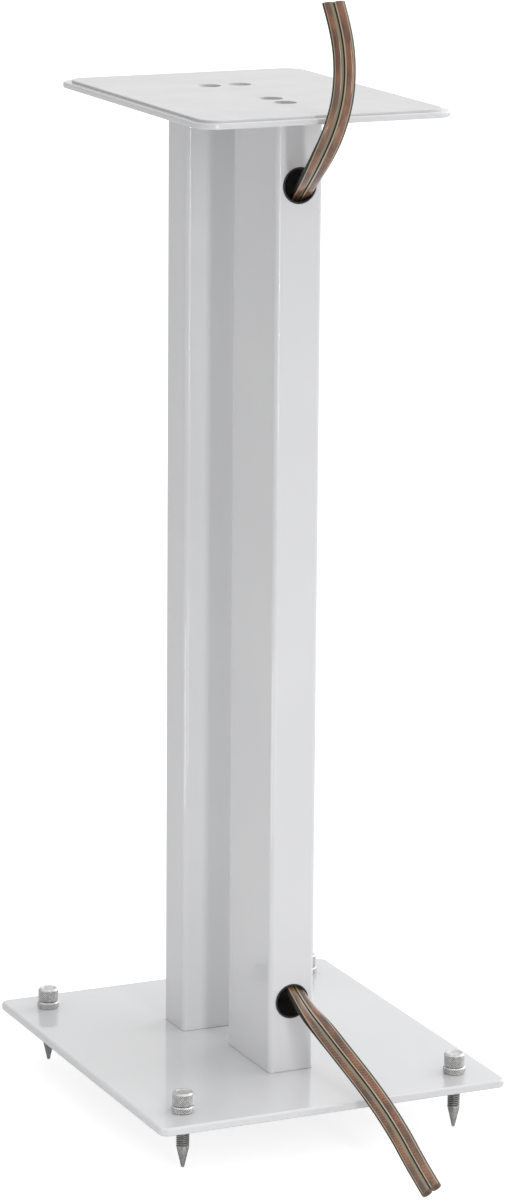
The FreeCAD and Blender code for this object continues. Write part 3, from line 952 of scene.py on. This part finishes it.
@dataclass
class Cable:
    """The flat two-core cable, in three stretches that meet at the rear column's two holes."""

    uv_name: ClassVar[str] = "route"
    width: float = 13 * MM
    core_place: float = 3.2 * MM
    core_half_width: float = 3.3 * MM
    core_half_depth: float = 2.3 * MM
    squareness: float = 2.3
    half_web: float = 0.95 * MM
    upper_length: float = 0.1483
    lower_length: float = 0.1703
    facing: tuple[float, float, float] = (-0.40, -0.885, 0.232)
    wall: float = -66 * MM
    upper_tilt: float = -2.0
    lower_tilt: float = -12.0
    upper_reach: float = 60 * MM
    lower_reach: float = 50 * MM
    inner_reach: float = 25 * MM
    squeeze: float = 0.04
    squeeze_reach: float = 25 * MM
    middle: float = 0.33
    upper_end: float = 0.65
    cut_slant: float = 0.16
    cut_reach: float = 12 * MM
    core_points: int = 44
    crease: float = 50.0
    proud: float = 0.05 * MM

    def route(self, stretch: Stretch) -> np.ndarray:
        """Points read from a smooth spline of order three through a stretch's control points.

        Args:
            stretch: the stretch to read.

        Returns:
            The points, from the top down.
        """
        curve = bpy.data.curves.new("route", "CURVE")
        curve.dimensions = "3D"
        curve.resolution_u = 10
        spline = curve.splines.new("NURBS")
        spline.points.add(len(stretch.value) - 1)
        spline.points.foreach_set("co", np.insert(np.array(stretch.value), 3, 1.0, axis=1).ravel())
        spline.order_u = 3
        spline.use_endpoint_u = True
        holder = bpy.data.objects.new("route", curve)
        mesh = bpy.data.meshes.new_from_object(holder)
        points = np.empty(3 * len(mesh.vertices))
        mesh.vertices.foreach_get("co", points)
        bpy.data.meshes.remove(mesh)
        bpy.data.objects.remove(holder)
        bpy.data.curves.remove(curve)
        return points.reshape(-1, 3)

    def section(self) -> tuple[np.ndarray, np.ndarray]:
        """The cable's outline: two flattened lobes joined by a thin web.

        A lobe's point is its middle plus the half width times the cosine and the half depth times the sine,
        each raised to two over the squareness with its sign kept. Each lobe runs from one side of the web
        round its outer edge to the web's other side, with its angle counted from the outer edge.

        Returns:
            The outline's points, across and through the cable, and each point's UV across.
        """
        power = 2 / self.squareness
        meet = math.pi - math.asin((self.half_web / self.core_half_depth) ** (1 / power))
        angle = np.linspace(-meet, meet, self.core_points)
        wave = np.column_stack((np.cos(angle), np.sin(angle)))
        right = np.sign(wave) * np.abs(wave) ** power * (self.core_half_width, self.core_half_depth)
        right[:, 0] += self.core_place
        share = (angle / TURN) % 1.0
        return np.concatenate((right, -right)), np.concatenate((share, 4 + share))

    def sides(self, points: np.ndarray, along: np.ndarray) -> np.ndarray:
        """Which way the cable's width runs at each point of a route.

        At a hole the width lies in the wall's plane, tilted by that hole's angle. Outside it turns, within
        the hole's reach, to lie square to the one direction that the flat face looks in. Inside it turns
        to lie along X within the inner reach. Both turns follow 3t^2 - 2t^3.

        Args:
            points: the route's points.
            along: the route's unit tangents.

        Returns:
            Unit directions square to the tangents.
        """
        upper = (points[:, 2] > self.middle)[:, None]
        tilt = np.radians(np.where(upper, self.upper_tilt, self.lower_tilt))
        reach = np.where(upper, self.upper_reach, self.lower_reach)
        out = points[:, 1, None] - self.wall
        outside, inside = np.clip(-out / reach, 0, 1), np.clip(out / self.inner_reach, 0, 1)
        outside, inside = (share * share * (3 - 2 * share) for share in (outside, inside))
        at_hole = np.concatenate((np.cos(tilt), 0 * tilt, np.sin(tilt)), axis=1)
        level = (1 - inside) * at_hole + inside * np.array([1.0, 0.0, 0.0])
        mixed = (1 - outside) * level + outside * np.cross(np.array(self.facing), along)
        mixed = mixed - along * np.sum(mixed * along, axis=1, keepdims=True)
        return mixed / np.linalg.norm(mixed, axis=1, keepdims=True)

    def sweep(self, points: np.ndarray) -> np.ndarray:
        """The outline carried along the route.

        A vertex is the route's point plus across times the side direction plus through times the face's
        direction, where side, face and tangent are square to each other. In the holes the cable is pressed
        together: across shrinks by the squeeze times one less the distance from the wall over its reach,
        squared. Towards the upper end each point moves along the route by the slant times across, because
        that end is cut aslant.

        Args:
            points: the route's points.

        Returns:
            The vertices as a grid, one row for each point of the route.
        """
        along = np.gradient(points, axis=0)
        along = along / np.linalg.norm(along, axis=1, keepdims=True)
        side = self.sides(points, along)
        face = np.cross(along, side)
        outline, _ = self.section()
        near = np.clip(1 - np.abs(points[:, 1] - self.wall) / self.squeeze_reach, 0, 1)
        side = side * (1 - self.squeeze * near * near)[:, None]
        ring = outline[None, :, 0, None] * side[:, None] + outline[None, :, 1, None] * face[:, None]
        from_top = np.cumsum(np.linalg.norm(np.diff(points, axis=0, prepend=points[:1]), axis=1))
        upper = points[0, 2] > self.upper_end
        slant = self.cut_slant * np.clip(1 - from_top / self.cut_reach, 0, 1) * upper
        ring += (slant[:, None] * outline[None, :, 0])[:, :, None] * along[:, None]
        return points[:, None] + ring

    def jacket(
        self, name: str, points: np.ndarray, start: float, material: bpy.types.Material
    ) -> bpy.types.Object:
        """One stretch of the cable.

        Args:
            name: the piece's name.
            points: the stretch's route.
            start: how far along the whole cable it begins, in metres.
            material: its finish.

        Returns:
            The piece, closed at both ends, with its UV map.
        """
        grid = self.sweep(points)
        _, across = self.section()
        rows, columns = grid.shape[:2]
        quads = grid_faces(rows, columns)
        faces = quads.tolist()
        last = (rows - 1) * columns
        core = columns // 2
        faces.append(list(range(columns))[::-1])
        faces.append(list(range(last, last + columns)))
        piece = make_piece(name, grid.reshape(-1, 3), faces, material)
        lengths = np.linalg.norm(np.diff(points, axis=0), axis=1)
        along = start + np.concatenate(([0.0], np.cumsum(lengths)))
        corner = face_corners(piece)
        u, v = across[corner % columns], along[corner // columns]
        quad_u = u[: 4 * len(quads)].reshape(-1, 4)
        low, high = (quads % columns).min(axis=1), (quads % columns).max(axis=1)
        web = (high - low > 1) | (low == core - 1) & (high == core)
        quad_u[web] = 0.5
        jump = (quad_u.max(axis=1) - quad_u.min(axis=1) > 0.5) & ~web
        quad_u[jump] = np.where(quad_u[jump] % 1.0 < 0.5, quad_u[jump] + 1.0, quad_u[jump])
        u[: 4 * len(quads)] = quad_u.ravel()
        u[4 * len(quads) :] = 0.0
        give_uv(piece, self.uv_name, np.column_stack((u, v)))
        sharpen(piece, self.crease)
        return piece

    def cut_end(
        self, name: str, points: np.ndarray, last: bool, material: bpy.types.Material
    ) -> bpy.types.Object:
        """The cut face at one end of a stretch, a hair proud of it.

        Args:
            name: the piece's name.
            points: the stretch's route.
            last: whether the end is the route's last point.
            material: its finish.

        Returns:
            The piece, a thin slice of the cable's outline with its UV map.
        """
        grid = self.sweep(points)
        at = -1 if last else 0
        tip = points[at] - points[-2 if last else 1]
        outline, _ = self.section()
        ring = grid[at]
        proud = ring + tip / np.linalg.norm(tip) * self.proud
        count = len(ring)
        faces = grid_faces(2, count).tolist()
        faces.append(list(range(count))[::-1])
        faces.append(list(range(count, 2 * count)))
        if not last:
            faces = [face[::-1] for face in faces]
        piece = make_piece(name, np.concatenate((ring, proud)), faces, material)
        corner = face_corners(piece)
        give_uv(piece, self.uv_name, outline[corner % count] / MM)
        sharpen(piece, self.crease)
        return piece

    def build(self) -> None:
        jacket, cut = ClearJacket().material(), CutEnd().material()
        start, made, routes = 0.0, {}, {}
        for stretch in Stretch:
            name = stretch.name.lower()
            points = self.route(stretch)
            piece = self.jacket(f"flat_cable_{name}", points, start, jacket)
            start += np.linalg.norm(np.diff(points, axis=0), axis=1).sum()
            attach(piece, ROOT_BODY)
            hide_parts(f"cable_{name}")
            made[stretch], routes[stretch] = piece, points
        for stretch, last in ((Stretch.UPPER, False), (Stretch.LOWER, True)):
            end = self.cut_end(f"cut_end_{stretch.name.lower()}", routes[stretch], last, cut)
            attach(end, ROOT_BODY)


# ---------------------------------------------------------------------------------------------------------
# Studio
# ---------------------------------------------------------------------------------------------------------
@dataclass(frozen=True)
class SoftBox:
    """A rectangular lamp that the camera doesn't see.

    Its energy is in watts, its size is its width and height, and it faces the point aim.
    """

    name: str
    energy: float
    size: tuple[float, float]
    place: tuple[float, float, float]
    aim: tuple[float, float, float]

    def build(self) -> None:
        """Adds the lamp to the scene."""
        box = bpy.data.lights.new(self.name, "AREA")
        box.shape = "RECTANGLE"
        box.size, box.size_y = self.size
        box.energy = self.energy
        lamp = bpy.data.objects.new(self.name, box)
        turn = (Vector(self.aim) - Vector(self.place)).to_track_quat("-Z", "Y").to_matrix().to_4x4()
        lamp.matrix_world = Matrix.Translation(self.place) @ turn
        lamp.visible_camera = False
        bpy.context.scene.collection.objects.link(lamp)


@dataclass
class Studio:
    """The floor, the soft light and the camera at the photograph's viewing angle."""

    frame_height: float = 1200.0
    focal_pixels: float = 4682.189
    sensor: float = 36.0
    eye: tuple[float, float, float] = (-1.154615, -2.546376, 0.985584)
    yaw: float = 24.511
    pitch: float = 13.422
    roll: float = -0.453
    floor_half: float = 40.0
    floor_drop: float = 0.5 * MM
    sky_left: float = 0.42
    sky_right: float = 2.9
    sky_rear: float = 0.1
    sky_front: float = 0.7
    sky_top: float = 1.62
    lamps: tuple[SoftBox, ...] = (
        SoftBox("strip", 14.6, (0.13, 1.9), (0.02, -2.2, 0.95), (0.02, 0.0, 0.95)),
        SoftBox("kick_left", 0.38, (0.3, 0.14), (-0.5, -0.2, 0.1), (0.0, 0.02, 0.08)),
        SoftBox("kick_rear", 0.2, (0.3, 0.14), (-0.05, -0.6, 0.1), (0.0, -0.06, 0.08)),
    )

    def camera(self) -> None:
        """A camera from the fitted place, turned by yaw from +Y, then down by pitch, then by roll."""
        yaw, pitch, roll = (math.radians(a) for a in (self.yaw, self.pitch, self.roll))
        ahead = Vector((math.sin(yaw) * math.cos(pitch), math.cos(yaw) * math.cos(pitch), -math.sin(pitch)))
        level = Vector((math.cos(yaw), -math.sin(yaw), 0))
        down = ahead.cross(level)
        right = level * math.cos(roll) + down * math.sin(roll)
        up = level * math.sin(roll) - down * math.cos(roll)
        data = bpy.data.cameras.new("camera")
        data.sensor_width = self.sensor
        data.lens = self.focal_pixels / self.frame_height * self.sensor
        data.clip_end = 200.0
        camera = bpy.data.objects.new("camera", data)
        turned = Matrix((right, up, -ahead)).transposed()
        camera.matrix_world = Matrix.Translation(self.eye) @ turned.to_4x4()
        bpy.context.scene.collection.objects.link(camera)
        bpy.context.scene.camera = camera

    def floor(self) -> None:
        """Two wide plain floors: the white one that is seen, and a light grey one that lights the stand.

        A white floor bright enough to show as white would light the stand far more than its base plate
        does, so the seen floor casts no light, and the one just under it is about as light as the plate.
        """
        half = self.floor_half
        level = np.array([(-half, -half, 0), (half, -half, 0), (half, half, 0), (-half, half, 0)], float)
        seen = make_piece("studio_floor", level, [[0, 1, 2, 3]], StudioFloor().material())
        seen.visible_diffuse = seen.visible_glossy = seen.visible_shadow = False
        lower = level - (0, 0, self.floor_drop)
        bounce = make_piece("studio_bounce", lower, [[0, 1, 2, 3]], BounceFloor().material())
        bounce.visible_camera = bounce.visible_shadow = False

    def sky(self) -> None:
        """A soft sky whose brightness changes smoothly from side to side.

        Towards a direction it is the sum of the squares of the direction's three numbers, each times the
        strength of the side that the number points to. The squares add up to one.
        """
        world = bpy.data.worlds.new("studio_sky")
        world.use_nodes = True
        world.node_tree.nodes.clear()
        bench = Bench.on(world.node_tree)
        towards = bench.split(bench.add("ShaderNodeTexCoord", output="Generated"))
        sides = ((self.sky_left, self.sky_right), (self.sky_rear, self.sky_front), (0.0, self.sky_top))
        parts = [
            part * part * (low + (high - low) * (1 - part.below(0.0)))
            for part, (low, high) in zip(towards, sides)
        ]
        shade = bench.add("ShaderNodeBackground", sockets={"Strength": parts[0] + parts[1] + parts[2]})
        bench.add("ShaderNodeOutputWorld", sockets={"Surface": shade})
        bpy.context.scene.world = world

    def build(self) -> None:
        """Sets up the whole studio."""
        self.camera()
        self.floor()
        self.sky()
        for lamp in self.lamps:
            lamp.build()
        bpy.context.scene.view_settings.view_transform = "Standard"


def main() -> None:
    """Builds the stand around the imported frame."""
    logging.basicConfig(level=logging.INFO, format="%(name)s: %(message)s")
    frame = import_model()
    Studio().build()
    Cable().build()
    Body().dress(frame["nodes"])
    SpikeSet().build()


if __name__ == "__main__":
    main()
